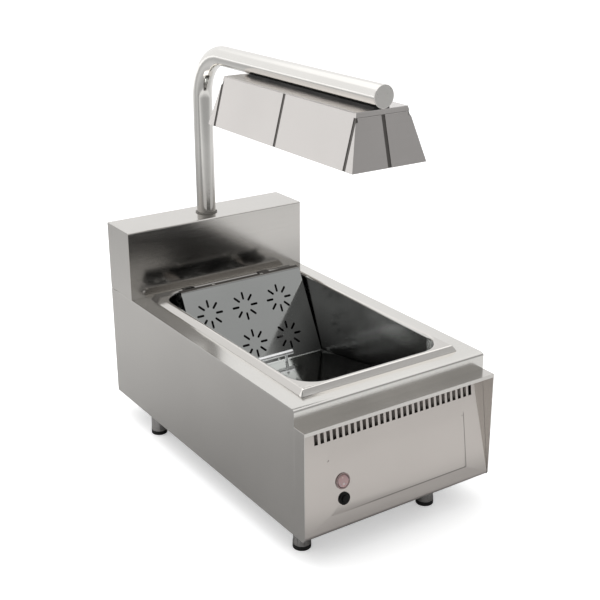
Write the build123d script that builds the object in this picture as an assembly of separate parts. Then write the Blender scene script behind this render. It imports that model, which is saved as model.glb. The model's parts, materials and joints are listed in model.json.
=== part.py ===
from build123d import *
import os
from math import atan2, cos, degrees, hypot, radians, sin, sqrt, tan

# Counter-top chip warmer: a folded steel cabinet with a dropped-in pan, a sunburst drain plate
# and a heated hood carried by a bent tube over the pan.
#
# Frame: millimetres, +X to the right seen from the front, -Y towards the user, +Z up.
# The origin lies on the counter, under the middle of the whole unit.

# ---- Overall sizes ----
width = 400.0
depth = 700.0
console_depth = 29.0          # the console stands this far in front of the side panels
foot_height = 50.0
body_height = 230.0           # underside of the cabinet to the worktop
riser_height = 138.0          # upstand behind the worktop
riser_depth = 93.0
hood_clearance = 355.0        # worktop to the rim of the hood

# ---- Sheet metal ----
sheet = 1.5                   # cabinet sheet
thin_sheet = 1.2              # hood and pan sheet
return_width = 15.0           # folded edge returns
nose_radius = 6.0
nose_return = 12.0            # the worktop's front fold ends in this lip, on the ledge
back_inset = 24.0             # the back panel lies in a recess that guards the cable gland

# ---- Console ----
console_top_drop = 30.0       # ledge below the worktop
ledge_lip = 7.0
cheek_radius = 7.0
tab_top = 75.0                # laps between cheek and side panel end this far above the base
panel_end_gap = 0.3           # control panel to each cheek
panel_top_gap = 0.5           # control panel to the ledge
panel_foot_return = 28.0      # rolled foot of the control panel, under the tray
vent_count = 28
vent_pitch = 12.15
vent_width = 7.0
vent_height = 19.5
vent_rise = 170.0             # distances up the control panel from its lower edge
pattern_x = 3.0               # vents and raised field sit this far right of the middle
field_width = 294.0           # raised field pressed into the control panel
field_height = 99.0
field_rise = 30.5
field_lift = 0.6
field_slope = 2.0             # width of the step round the raised field
field_corner = 4.0
control_x = -116.0
switch_rise = 85.5
reset_rise = 54.5

# ---- Power switch ----
switch_flange_radius = 14.0
switch_barrel_radius = 12.3
switch_bore_radius = 11.0
switch_flange = 2.0
switch_barrel_depth = 18.0
switch_hole_gap = 0.2
switch_rim_round = 0.8
rocker_gap = 0.4              # rocker ball to the bore
rocker_tilt = 9.0             # degrees each way
rocker_back = 4.0
rocker_crest = 2.6
rocker_pin_radius = 1.5
rocker_pin_end_gap = 0.4      # pin end to the bottom of its hole
pivot_skin = 0.3              # barrel wall left behind each pivot hole
running_gap = 0.05            # radial play of pins and threads

# ---- Reset button ----
reset_collar_radius = 11.0
reset_collar_height = 3.0
reset_barrel_radius = 9.0
reset_lip_radius = 6.6
reset_bore_radius = 8.0
reset_depth = 16.0
reset_proud = 2.5
button_shoulder = 2.0
button_stem = 8.0             # stem below the panel's face
button_gap = 0.1

# ---- Worktop, pan and well ----
pan_length = 530.0            # gastronorm 1/1 flange
pan_width = 325.0
pan_depth = 150.0
pan_front_margin = 33.0       # front edge of the worktop to the pan flange
pan_flange = 12.5             # side flanges
pan_end_flange = 14.0
pan_flange_radius = 6.0
pan_rim_round = 1.5           # outer edge of the flange
pan_mouth_round = 6.0         # flange to wall
pan_corner_radius = 50.0
pan_floor_radius = 18.0
pan_rise = 11.0               # flange top above the worktop
pan_taper = 2.0               # degrees
cutout_gap = 3.0              # pan wall to the worktop cut-out, all round
well_gap = 6.0                # pan wall to the well, all round
well_floor_gap = 10.0
well_flange = 12.0
heater_thickness = 4.0
heater_gap = 20.0             # between the two mats
heater_margin = 40.0          # mats to the well's sides

# ---- Drain plate ----
plate_left = -131.0
plate_right = 143.5
plate_top_lift = 15.5         # top edge above the pan flange
plate_top_setback = 63.0      # top edge in front of the flange's rear edge
plate_slope = 61.9            # degrees below the horizontal
plate_fall = 157.0            # top edge down to the bend
plate_rise = 9.0              # degrees; the lower part climbs towards the front
plate_front_gap = 24.0        # lower part to the front wall of the pan
plate_hem = 10.0              # level fold behind the top edge
plate_bend = 3.0
plate_side_gap = 1.5          # plate to the pan's tapered wall
strap_x = 100.0               # two straps rest on the rear flange
strap_width = 24.0
strap_overlap = 8.0
sunburst_x = -2.0
sunburst_pitch = 80.0
sunburst_rows = (54.0, 131.0) # distances down the slope
sunburst_slots = 8
sunburst_inner = 13.0
sunburst_outer = 29.0
sunburst_slot_width = 4.6
rivet_spread = 56.0
rivet_radius = 4.0
rivet_flatness = 0.45
handle_x = -2.0
handle_length = 136.0
handle_radius = 4.75
handle_leg_spread = 52.0
handle_leg_radius = 3.0
handle_lift = 17.5            # grip axis above the lower part
handle_forward = 11.5         # grip axis in front of the bend

# ---- Gantry ----
tube_radius = 19.0
tube_wall = 1.5
bend_radius = 90.0
tube_reach = 578.0            # post axis to the free end
socket_wall = 2.0
socket_height = 70.0
socket_plate = 3.0
socket_plate_size = 84.0
socket_plate_front = 34.0     # socket plate's front edge to the post axis
cable_hole_radius = 9.0
grommet_height = 1.5
grommet_width = 3.0
cap_thickness = 2.0
cap_plug = 14.0

# ---- Hood ----
hood_height = 89.0
hood_top_length = 401.0
hood_top_width = 102.0
hood_flare = 22.75            # every side widens by this much from top to rim
hood_seam = 7.0               # dark joint between two cover panels
hood_rim = 8.0
hood_lip = 8.0                # lid's end lips, measured down
hood_lip_gap = 0.6            # lid's end lips to the end panels
hood_front_setback = 2.0      # tube end in front of the hood top
saddle_width = 30.0
saddle_base = 0.8             # tube to the hood's top
saddle_lip = 3.0
saddle_setback = 26.0         # saddle ends this far inside the rear edge of the hood top
rail_width = 40.0
rail_thickness = 4.0
rail_end_gap = 10.0           # rail and reflector to the ends of the hood top
reflector_sheet = 0.8
reflector_top_width = 64.0
reflector_drop = 12.0         # hood top to the reflector's flat
reflector_rest = 1.5          # reflector's edges lie this far over the rim
reflector_bend = 8.0
neck_gap = 0.5
emitter_count = 3
emitter_length = 122.0
emitter_width = 60.0
emitter_thickness = 7.0
emitter_sag = 8.0
emitter_pitch = 130.0
emitter_drop = 26.0           # hood top to the emitter's crown
emitter_neck = 26.0
bolt_radius = 4.0
bolt_head_radius = 6.5
bolt_head = 6.0
bolt_gap = 0.3
bolt_head_gap = 1.0
bolt_spread = 65.0            # bolts lie between the emitters
nut_height = 6.0

# ---- Feet: left front, right front, left rear, right rear ----
# Each is (from the nearer side, from the front or rear of the cabinet body).
foot_insets = {
    "front_left": (36.0, 32.0),
    "front_right": (101.0, 25.0),
    "rear_left": (26.0, 133.0),
    "rear_right": (26.0, 133.0),
}
foot_radius = 15.0
pad_radius = 16.0
pad_height = 8.0
pad_round = 1.5
foot_top_gap = 2.5            # sleeve to the base, filled by the lock nut
foot_nut_gap = 0.3
stud_radius = 5.0
stud_length = 14.0
bush_radius = 9.0
bush_height = 16.0

# ---- Back panel fittings ----
gland_x = -140.0
gland_z = 45.0                # above the base
gland_thread_radius = 10.0
gland_hex_radius = 13.0
gland_length = 20.0
gland_nut = 5.0
gland_bore_radius = 4.5
back_vent_count = 14
back_vent_pitch = 16.0
back_vent_height = 50.0
back_vent_width = 5.0

# ---- Terminal block ----
terminal_size = (60.0, 22.0, 20.0)
terminal_ways = 5
terminal_hole = 3.0
terminal_hole_depth = 6.0
terminal_setback = 70.0       # front face to the back panel

# ---- Places worked out from the sizes above ----
front_y = -depth / 2
back_y = depth / 2
body_front_y = front_y + console_depth
base_z = foot_height
deck_z = base_z + body_height
ledge_z = deck_z - console_top_drop
riser_y = back_y - riser_depth
riser_z = deck_z + riser_height
inner_x = width / 2 - sheet
inset_y = back_y - back_inset

pan_top = deck_z + pan_rise
pan_y = body_front_y + pan_front_margin + pan_length / 2
pan_mouth_length = pan_length - 2 * pan_end_flange
pan_mouth_width = pan_width - 2 * pan_flange
pan_floor_z = pan_top - pan_depth + thin_sheet
pan_rear_y = pan_y + pan_length / 2
well_z = pan_top - pan_depth - well_floor_gap

post_y = inset_y - sheet - socket_wall - tube_radius
tube_end_y = post_y - tube_reach
hood_rim_z = deck_z + hood_clearance
hood_top_z = hood_rim_z + hood_height
tube_z = hood_top_z + saddle_base + tube_radius
hood_front_y = tube_end_y + hood_front_setback
hood_y = hood_front_y + hood_top_length / 2

foot_places = {}
for place, (from_side, from_end) in foot_insets.items():
    end, side = place.split("_")
    x = width / 2 - from_side
    y = body_front_y + from_end if end == "front" else back_y - from_end
    foot_places[place] = (x if side == "right" else -x, y)


def block(x, y, z):
    """A box from three (low, high) pairs."""
    size = [high - low for low, high in (x, y, z)]
    middle = [(high + low) / 2 for low, high in (x, y, z)]
    return Pos(*middle) * Box(*size)


def disc(x, y, z, radius, height):
    """An upright cylinder standing on z."""
    return Pos(x, y, z + height / 2) * Cylinder(radius, height)


def ring(x, y, z, radius, bore, height):
    return disc(x, y, z, radius, height) - disc(x, y, z - 1, bore, height + 2)


def folded(points, thickness, half_width, bend, side=Side.LEFT):
    """A sheet folded along (y, z) points, as wide as 2 * half_width along X."""
    path = FilletPolyline(*points, radius=bend)
    section = make_face(offset(path, amount=thickness, side=side).edges())
    return Pos(-half_width, 0, 0) * extrude(Plane.YZ * section, amount=2 * half_width)


def rounded_prism(length, breadth, radius, z, height, y, taper=0.0):
    """A rounded rectangle, breadth along X and length along Y, extruded up or down from z."""
    outline = Pos(0, y, z) * RectangleRounded(breadth, length, radius)
    return extrude(outline, amount=abs(height), dir=(0, 0, 1 if height > 0 else -1), taper=taper)


# ---- Cabinet ----

def side_panel(side):
    """Side sheet, notched behind the worktop's front fold, with bottom and rear returns."""
    top_z = deck_z - sheet
    nose_y = body_front_y + sheet
    outline = Polyline((body_front_y, base_z), (back_y, base_z), (back_y, top_z), (nose_y, top_z),
                       (nose_y, ledge_z), (body_front_y, ledge_z), close=True)
    face = make_face(outline)
    corner = [v for v in face.vertices() if abs(v.X - nose_y) < 0.01 and abs(v.Y - top_z) < 0.01]
    face = fillet(corner, nose_radius - sheet)
    panel = Pos(inner_x, 0, 0) * extrude(Plane.YZ * face, amount=sheet)
    edge = (inner_x - return_width, inner_x)
    bottom = block(edge, (body_front_y + return_width, inset_y - sheet), (base_z + sheet, base_z + 2 * sheet))
    rear = block(edge, (back_y - sheet, back_y), (base_z + sheet, top_z))
    panel = panel + bottom + rear
    return panel if side > 0 else mirror(panel, about=Plane.YZ)


def worktop():
    """Top sheet with a front fold down to the ledge, its return, and the pan cut-out."""
    rear = (inset_y - sheet, deck_z)
    top = folded([rear, (body_front_y, deck_z), (body_front_y, ledge_z)], sheet, width / 2, nose_radius)
    lip = block((-inner_x, inner_x), (body_front_y, body_front_y + nose_return), (ledge_z, ledge_z + sheet))
    breadth = pan_mouth_width + 2 * (thin_sheet + cutout_gap)
    length = pan_mouth_length + 2 * (thin_sheet + cutout_gap)
    radius = pan_corner_radius + thin_sheet + cutout_gap
    hole = rounded_prism(length, breadth, radius, deck_z + 1, -sheet - 2, pan_y)
    post_hole = disc(0, post_y, deck_z - sheet - 1, cable_hole_radius, sheet + 2)
    return top + lip - hole - post_hole


def base_plate():
    plate = block((-inner_x, inner_x), (body_front_y, back_y), (base_z, base_z + sheet))
    lip = block((-inner_x, inner_x), (body_front_y, body_front_y + sheet),
                (base_z, base_z + 2 * return_width))
    plate = plate + lip
    for x, y in foot_places.values():
        plate -= disc(x, y, base_z - 1, stud_radius + 2 * running_gap, sheet + 2)
    return plate


def back_panel():
    """Recessed back, with a row of vents and the cable gland's hole."""
    plate = block((-inner_x, inner_x), (inset_y - sheet, inset_y), (base_z + sheet, riser_z - sheet))
    outline = SlotOverall(back_vent_height, back_vent_width, 90)
    slot = Rot(90, 0, 0) * extrude(outline, amount=4 * sheet, both=True)
    first = -(back_vent_count - 1) / 2 * back_vent_pitch
    for i in range(back_vent_count):
        plate -= Pos(first + i * back_vent_pitch, inset_y, base_z + body_height / 2) * slot
    hole = Rot(90, 0, 0) * Cylinder(gland_thread_radius + 0.1, 4 * sheet)
    return plate - Pos(gland_x, inset_y, base_z + gland_z) * hole


def riser_cover():
    """Upstand folded from one sheet: front, top, two sides and rear returns."""
    outer = block((-width / 2, width / 2), (riser_y, back_y), (deck_z, riser_z))
    outer = fillet(outer.edges().filter_by(Axis.X).sort_by(Axis.Y)[0:2].sort_by(Axis.Z)[-1], 2 * sheet)
    inner = block((-inner_x, inner_x), (riser_y + sheet, back_y + 1), (deck_z - 1, riser_z - sheet))
    inner = fillet(inner.edges().filter_by(Axis.X).sort_by(Axis.Y)[0:2].sort_by(Axis.Z)[-1], sheet)
    cover = outer - inner
    for side in (-1, 1):
        edge = sorted((side * inner_x, side * (inner_x - return_width)))
        cover += block(edge, (back_y - sheet, back_y), (deck_z, riser_z - sheet))
    return cover - disc(0, post_y, riser_z - 2 * sheet, tube_radius + bolt_gap, 3 * sheet)


def console_frame():
    """Two cheeks with lapped tabs, a ledge with a front lip, and a tray over the panel's foot."""
    span = (-inner_x, inner_x)
    ledge = block(span, (front_y, body_front_y + nose_return), (ledge_z - sheet, ledge_z))
    lip = block(span, (front_y, front_y + sheet), (ledge_z - ledge_lip, ledge_z))
    tray = block(span, (front_y + cheek_radius + 2 * sheet, body_front_y),
                 (base_z + sheet, base_z + 2 * sheet))
    frame = ledge + lip + tray
    cheek = block((inner_x, width / 2), (front_y, body_front_y), (base_z, ledge_z))
    low_edge = cheek.edges().filter_by(Axis.X).sort_by(Axis.Y)[0:2].sort_by(Axis.Z)[0]
    cheek = fillet(low_edge, cheek_radius)
    tab = block((inner_x - sheet, inner_x), (body_front_y - return_width, body_front_y + return_width),
                (base_z + 2 * return_width, base_z + tab_top))
    for solid in (cheek, tab):
        frame = frame + solid + mirror(solid, about=Plane.YZ)
    return frame


# ---- Control panel, on its own leaning plane ----
panel_top_z = ledge_z - sheet - panel_top_gap
panel_length = hypot(console_depth, panel_top_z - base_z)
panel_angle = degrees(atan2(console_depth, panel_top_z - base_z))
panel_plane = Plane(origin=(0, front_y, base_z), x_dir=(1, 0, 0),
                    z_dir=(0, -cos(radians(panel_angle)), sin(radians(panel_angle))))
panel_half = inner_x - panel_end_gap


def on_panel(rise, lift=0.0, x=control_x):
    """The place on the control panel's outer face, with local Z pointing out of it."""
    return panel_plane * Pos(x, rise, lift)


def control_panel():
    """Leaning front sheet with a rolled foot, vents, a raised field, two holes and end returns."""
    panel = folded([(body_front_y, panel_top_z), (front_y, base_z), (front_y + panel_foot_return, base_z)],
                   sheet, panel_half, cheek_radius)
    field_y = field_rise + field_height / 2
    low_field = Pos(pattern_x, field_y) * RectangleRounded(field_width, field_height, field_corner)
    high_field = Pos(pattern_x, field_y, field_lift) * RectangleRounded(
        field_width - 2 * field_slope, field_height - 2 * field_slope, field_corner - field_slope / 2)
    extras = [loft([low_field, high_field])]
    for side in (-1, 1):
        edge = sorted((side * panel_half, side * (panel_half - sheet)))
        rises = (tab_top + return_width / 2, panel_length - return_width)
        extras.append(block(edge, rises, (-return_width, 0)))
    holes = []
    for i in range(vent_count):
        x = pattern_x + (i - (vent_count - 1) / 2) * vent_pitch
        holes.append(Pos(x, vent_rise) * Box(vent_width, vent_height, 4 * sheet))
    holes.append(Pos(control_x, switch_rise) * Cylinder(switch_barrel_radius + switch_hole_gap, 4 * sheet))
    holes.append(Pos(control_x, reset_rise) * Cylinder(reset_barrel_radius + switch_hole_gap, 4 * sheet))
    return panel + [panel_plane * one for one in extras] - [panel_plane * one for one in holes]


def switch_housing():
    """Round bezel and barrel with the rocker's pivot holes."""
    body = Cylinder(switch_flange_radius, switch_flange, align=(Align.CENTER, Align.CENTER, Align.MIN))
    body = fillet(body.edges().sort_by(Axis.Z)[-1], switch_rim_round)
    body += Pos(0, 0, -switch_barrel_depth / 2) * Cylinder(switch_barrel_radius, switch_barrel_depth)
    bore_depth = switch_barrel_depth - 2 * sheet
    bore = Cylinder(switch_bore_radius, 2 * bore_depth)
    body -= bore
    pivot = Rot(0, 90, 0) * Cylinder(rocker_pin_radius + running_gap, 2 * (switch_barrel_radius - pivot_skin))
    return on_panel(switch_rise, field_lift) * (body - pivot)


def power_rocker():
    """Ball-edged rocker with a shallow vee face; its upper half is pressed in."""
    radius = switch_bore_radius - rocker_gap
    edge = rocker_crest - radius * sin(radians(rocker_tilt))
    profile = Polyline((-radius, edge), (0, rocker_crest), (radius, edge),
                       (radius, -rocker_back), (-radius, -rocker_back), close=True)
    wedge = extrude(Plane.YZ * make_face(profile), amount=radius, both=True)
    rocker = wedge & Sphere(radius)
    pin_length = 2 * (switch_barrel_radius - pivot_skin - rocker_pin_end_gap)
    pin = Rot(0, 90, 0) * Cylinder(rocker_pin_radius, pin_length)
    return on_panel(switch_rise, field_lift) * Rot(-rocker_tilt, 0, 0) * (rocker + pin)


def reset_collar():
    """Screwed collar with an inner lip that holds the button captive."""
    collar = Cylinder(reset_collar_radius, reset_collar_height, align=(Align.CENTER, Align.CENTER, Align.MIN))
    collar = chamfer(collar.edges().sort_by(Axis.Z)[-1], 1.0)
    collar += Pos(0, 0, -reset_depth / 2) * Cylinder(reset_barrel_radius, reset_depth)
    mouth = Cylinder(reset_lip_radius + button_gap, 2 * reset_collar_height)
    collar -= Pos(0, 0, reset_collar_height / 2) * mouth
    well = reset_depth - sheet
    collar -= Pos(0, 0, -well / 2) * Cylinder(reset_bore_radius, well)
    return on_panel(reset_rise, field_lift) * collar


def reset_button():
    top = reset_collar_height + reset_proud
    stem_length = top + button_stem
    stem = Pos(0, 0, top - stem_length / 2) * Cylinder(reset_lip_radius, stem_length)
    stem = fillet(stem.edges().sort_by(Axis.Z)[-1], 1.5)
    shoulder = Pos(0, 0, -button_shoulder / 2 - button_gap) * Cylinder(
        reset_bore_radius - button_gap, button_shoulder)
    return on_panel(reset_rise, field_lift) * (stem + shoulder)


# ---- Well, pan and drain plate ----

def well_liner():
    """Tank that hangs under the worktop round the pan."""
    breadth = pan_mouth_width + 2 * (thin_sheet + well_gap)
    length = pan_mouth_length + 2 * (thin_sheet + well_gap)
    radius = pan_corner_radius + thin_sheet + well_gap
    top = deck_z - sheet
    tank = rounded_prism(length + 2 * thin_sheet, breadth + 2 * thin_sheet, radius + thin_sheet,
                         top, well_z - top, pan_y)
    flange = rounded_prism(length + 2 * well_flange, breadth + 2 * well_flange, radius + well_flange,
                           top, -thin_sheet, pan_y)
    inside = rounded_prism(length, breadth, radius, top + 1, well_z + thin_sheet - top - 1, pan_y)
    return tank + flange - inside


def heater_mat(end):
    """Flat heating mat under one half of the well floor."""
    length = (pan_mouth_length - heater_gap) / 2 - heater_margin
    y = pan_y + end * (length + heater_gap) / 2
    return rounded_prism(length, pan_mouth_width - 2 * heater_margin, 12, well_z, -heater_thickness, y)


def pan_inside(gap=0.0):
    """The space inside the pan, drawn in by gap."""
    space = rounded_prism(pan_mouth_length - 2 * gap, pan_mouth_width - 2 * gap, pan_corner_radius - gap,
                          pan_top, pan_floor_z - pan_top, pan_y, pan_taper)
    return fillet(space.faces().sort_by(Axis.Z)[0].edges(), pan_floor_radius - thin_sheet)


def gn_pan():
    """Gastronorm pan: rim turned down on to the worktop, rolled mouth, tapered walls."""
    flange = rounded_prism(pan_length, pan_width, pan_flange_radius, pan_top, -pan_rise, pan_y)
    flange = fillet(flange.edges().group_by(Axis.Z)[-1], pan_rim_round)
    flange -= rounded_prism(pan_length - 2 * thin_sheet, pan_width - 2 * thin_sheet,
                            pan_flange_radius - thin_sheet, deck_z - 1, pan_rise + 1 - thin_sheet, pan_y)
    outer = rounded_prism(pan_mouth_length + 2 * thin_sheet, pan_mouth_width + 2 * thin_sheet,
                          pan_corner_radius + thin_sheet, pan_top, -pan_depth, pan_y, pan_taper)
    outer = fillet(outer.faces().sort_by(Axis.Z)[0].edges(), pan_floor_radius)
    pan = flange + outer
    under_z = pan_top - thin_sheet
    wall_x = pan_mouth_width / 2 + thin_sheet + 1
    wall_y = pan_mouth_length / 2 + thin_sheet + 1
    under = [e for e in pan.edges() if abs(e.center().Z - under_z) < 0.01
             and abs(e.center().X) < wall_x and abs(e.center().Y - pan_y) < wall_y]
    pan = fillet(under, pan_mouth_round - thin_sheet) - pan_inside()
    mouth = [e for e in pan.edges() if abs(e.center().Z - pan_top) < 0.01
             and abs(e.center().X) < wall_x and abs(e.center().Y - pan_y) < wall_y]
    return fillet(mouth, pan_mouth_round)


# Drain plate bends, as (y, z) on its upper face
plate_top_z = pan_top + plate_top_lift
plate_top_y = pan_rear_y - plate_top_setback
plate_bend_z = plate_top_z - plate_fall
plate_bend_y = plate_top_y - plate_fall / tan(radians(plate_slope))
plate_front_y = pan_y - pan_mouth_length / 2 + plate_front_gap
plate_front_z = plate_bend_z + (plate_bend_y - plate_front_y) * tan(radians(plate_rise))


def sunburst():
    """Cutters for one sun: radial slots round a plain centre."""
    length = sunburst_outer - sunburst_inner
    middle = (sunburst_outer + sunburst_inner) / 2
    slot = Pos(0, middle) * SlotOverall(length, sunburst_slot_width, 90)
    suns = [Rot(0, 0, i * 360 / sunburst_slots) * slot for i in range(sunburst_slots)]
    return [extrude(one, amount=4 * thin_sheet, both=True) for one in suns]


def drain_plate():
    """One folded sheet: level hem, perforated slope, lower part that climbs, and a front leg."""
    points = [(plate_top_y + plate_hem, plate_top_z), (plate_top_y, plate_top_z),
              (plate_bend_y, plate_bend_z), (plate_front_y, plate_front_z), (plate_front_y, pan_floor_z)]
    sheet_x = (plate_left + plate_right) / 2
    plate = Pos(sheet_x, 0, 0) * folded(points, thin_sheet, (plate_right - plate_left) / 2, plate_bend)
    above = block((plate_left, plate_right), (plate_bend_y, pan_rear_y), (pan_top, plate_top_z + 1))
    plate = plate & (pan_inside(plate_side_gap) + above)
    slope = tan(radians(plate_slope))
    strap_y = plate_top_y - (plate_top_lift - thin_sheet) / slope
    for side in (-1, 1):
        strap_edges = sorted((side * strap_x, side * (strap_x - strap_width)))
        plate += block(strap_edges, (strap_y, pan_rear_y - pan_end_flange + strap_overlap),
                       (pan_top, pan_top + thin_sheet))
    slope_plane = Plane(origin=(0, plate_top_y, plate_top_z), x_dir=(1, 0, 0),
                        z_dir=(0, -sin(radians(plate_slope)), cos(radians(plate_slope))))
    cutters = []
    for down in sunburst_rows:
        for column in (-1, 0, 1):
            place = slope_plane * Pos(sunburst_x + column * sunburst_pitch, -down, 0)
            cutters += [place * slot for slot in sunburst()]
    return plate - cutters


def hook_rivet(side):
    """Dome rivet on the drain plate's hem."""
    dome = Sphere(rivet_radius, arc_size1=0, align=(Align.CENTER, Align.CENTER, Align.MIN))
    place = Pos(side * rivet_spread, plate_top_y + plate_hem / 2, plate_top_z)
    return place * scale(dome, by=(1, 1, rivet_flatness))


def lift_handle():
    """Round grip on two legs, standing on the lower part just in front of the bend."""
    y = plate_bend_y - handle_forward
    floor_z = plate_bend_z + handle_forward * tan(radians(plate_rise))
    z = floor_z + handle_lift
    grip = Pos(handle_x, y, z) * Rot(0, 90, 0) * Cylinder(handle_radius, handle_length)
    grip = fillet(grip.edges(), handle_radius / 2)
    for side in (-1, 1):
        x = handle_x + side * handle_leg_spread
        grip += disc(x, y, floor_z - 1, handle_leg_radius, handle_lift + 1)
    low_z = plate_bend_z - handle_lift
    plate_side = Polyline((plate_bend_y, plate_bend_z), (plate_front_y, plate_front_z),
                          (plate_front_y, low_z), (plate_bend_y, low_z), close=True)
    return grip - extrude(Plane.YZ * make_face(plate_side), amount=handle_length, both=True)


# ---- Gantry ----

def post_socket():
    """Flange and sleeve inside the riser that hold the post upright."""
    plate = block((-socket_plate_size / 2, socket_plate_size / 2),
                  (post_y - socket_plate_front, inset_y - sheet), (deck_z, deck_z + socket_plate))
    sleeve = disc(0, post_y, deck_z, tube_radius + socket_wall, socket_height)
    hole = disc(0, post_y, deck_z + socket_plate, tube_radius, socket_height)
    through = disc(0, post_y, deck_z - 1, cable_hole_radius, 2 * socket_plate)
    return plate + sleeve - hole - through


def gantry_tube():
    """Post, one bend and a level arm, all one tube."""
    foot = (0, post_y, deck_z + socket_plate)
    bend_low = (0, post_y, tube_z - bend_radius)
    bend_high = (0, post_y - bend_radius, tube_z)
    end = (0, tube_end_y, tube_z)
    path = Line(foot, bend_low)
    path += TangentArc(bend_low, bend_high, tangent=(0, 0, 1))
    path += Line(bend_high, end)
    wall = Plane(origin=foot, z_dir=(0, 0, 1)) * (Circle(tube_radius) - Circle(tube_radius - tube_wall))
    tube = sweep(wall, path=path)
    for end_side in (-1, 1):
        tube -= disc(0, hood_y + end_side * bolt_spread, tube_z - tube_radius - 1,
                     bolt_radius + bolt_gap, 2 * tube_wall + 2)
    return tube


def tube_end_cap():
    """Flat cap with a plug inside the tube's free end."""
    turn = Rot(90, 0, 0)
    face = turn * Cylinder(tube_radius, cap_thickness)
    face = fillet(face.edges().sort_by(Axis.Y)[0], 0.8)
    plug = Pos(0, (cap_plug + cap_thickness) / 2, 0) * turn * Cylinder(tube_radius - tube_wall, cap_plug)
    return Pos(0, tube_end_y - cap_thickness / 2, tube_z) * (face + plug)


def post_grommet():
    return ring(0, post_y, riser_z, tube_radius + grommet_width, tube_radius, grommet_height)


# ---- Hood ----

def pyramid(inset):
    """The hood's flared outline, drawn in from its outer faces by inset, from rim to top."""
    top = Rectangle(hood_top_width - 2 * inset, hood_top_length - 2 * inset)
    grown = 2 * (hood_flare - inset)
    rim = Rectangle(hood_top_width + grown, hood_top_length + grown)
    return Pos(0, hood_y, 0) * loft([Pos(0, 0, hood_rim_z) * rim, Pos(0, 0, hood_top_z - sheet) * top])


def hood_cover(x, y, z=(hood_rim_z, hood_top_z)):
    """The part of the hood's outer skin that lies in these ranges."""
    skin = pyramid(0) - pyramid(thin_sheet)
    return skin & block(x, y, z)


def hood_panels():
    """Four long side panels and four end panels that wrap round the corners."""
    half_x = hood_top_width / 2 + hood_flare + 1
    half_y = hood_top_length / 2 + hood_flare + 1
    seam = hood_seam / 2
    corner = hood_top_length / 2
    end_z = (hood_rim_z, hood_top_z - hood_lip - hood_lip_gap)
    panels = {}
    for x_name, x_side in (("left", -1), ("right", 1)):
        for y_name, y_side in (("front", -1), ("rear", 1)):
            x_long = sorted((x_side * seam, x_side * half_x))
            x_corner = sorted((x_side * (hood_top_width / 2 - thin_sheet), x_side * half_x))
            y_long = sorted((hood_y + y_side * seam, hood_y + y_side * (corner - seam)))
            y_end = sorted((hood_y + y_side * corner, hood_y + y_side * half_y))
            y_gap = sorted((hood_y + y_side * corner, hood_y + y_side * (corner + seam)))
            panels[f"hood_side_{x_name}_{y_name}"] = hood_cover(x_long, y_long)
            end = hood_cover(x_long, y_end, end_z) - block(x_corner, y_gap, (hood_rim_z - 1, hood_top_z))
            panels[f"hood_end_{y_name}_{x_name}"] = end
    return panels


def hood_inner_skin():
    """Dark skin behind the cover panels, with a rim turned inwards."""
    skin = pyramid(thin_sheet) - pyramid(2 * thin_sheet)
    inset = hood_flare - thin_sheet
    outer = Pos(0, hood_y) * Rectangle(hood_top_width + 2 * inset, hood_top_length + 2 * inset)
    inset -= hood_rim
    inner = Pos(0, hood_y) * Rectangle(hood_top_width + 2 * inset, hood_top_length + 2 * inset)
    rim = Pos(0, 0, hood_rim_z) * extrude(outer - inner, amount=thin_sheet)
    return skin + (rim & pyramid(thin_sheet))


def bolt_places():
    return [hood_y - bolt_spread, hood_y + bolt_spread]


def hood_top():
    """Flat lid with a short lip down each end slope, wrapped round the corners."""
    half = hood_top_width / 2
    half_x = half + hood_flare
    lid = block((-half, half), (hood_front_y, hood_front_y + hood_top_length),
                (hood_top_z - sheet, hood_top_z))
    for side in (-1, 1):
        edge = hood_y + side * hood_top_length / 2
        reach = sorted((edge - side * hood_seam / 2, edge + side * hood_flare))
        lid += hood_cover((-half_x, half_x), reach, (hood_top_z - hood_lip, hood_top_z))
    for y in bolt_places():
        lid -= disc(0, y, hood_top_z - 2 * sheet, bolt_radius + bolt_gap, 3 * sheet)
    return lid


def hood_saddle():
    """Dark cradle between the tube and the hood."""
    rear_y = hood_front_y + hood_top_length - saddle_setback
    cradle = block((-saddle_width / 2, saddle_width / 2), (hood_front_y + hood_front_setback, rear_y),
                   (hood_top_z, hood_top_z + saddle_base + saddle_lip))
    groove = Rot(90, 0, 0) * Cylinder(tube_radius + running_gap, 2 * hood_top_length)
    cradle -= Pos(0, hood_y, tube_z) * groove
    for y in bolt_places():
        cradle -= disc(0, y, hood_top_z - 1, bolt_radius + bolt_gap, 2 * saddle_lip)
    return cradle


def emitter_rail():
    """Flat bar under the hood's top that the bolts and emitters hang on."""
    half = hood_top_length / 2 - rail_end_gap
    rail = block((-rail_width / 2, rail_width / 2), (hood_y - half, hood_y + half),
                 (hood_top_z - sheet - rail_thickness, hood_top_z - sheet))
    for y in bolt_places():
        rail -= disc(0, y, hood_top_z - 2 * sheet - rail_thickness, bolt_radius + bolt_gap,
                     rail_thickness + 2 * sheet)
    return rail


def hood_bolt(y):
    """Bolt from under the rail up into a nut inside the tube."""
    rail_z = hood_top_z - sheet - rail_thickness
    nut_z = tube_z - sqrt((tube_radius - tube_wall) ** 2 - bolt_head_radius ** 2) + running_gap
    head = disc(0, y, rail_z - bolt_head, bolt_head_radius, bolt_head)
    shank = disc(0, y, rail_z - 1, bolt_radius, nut_z + nut_height - rail_z + 1)
    nut = Pos(0, y, nut_z) * extrude(RegularPolygon(bolt_head_radius, 6), amount=nut_height)
    return head + shank + nut


def emitter_ys():
    middle = (emitter_count - 1) / 2
    return [hood_y + (i - middle) * emitter_pitch for i in range(emitter_count)]


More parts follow.
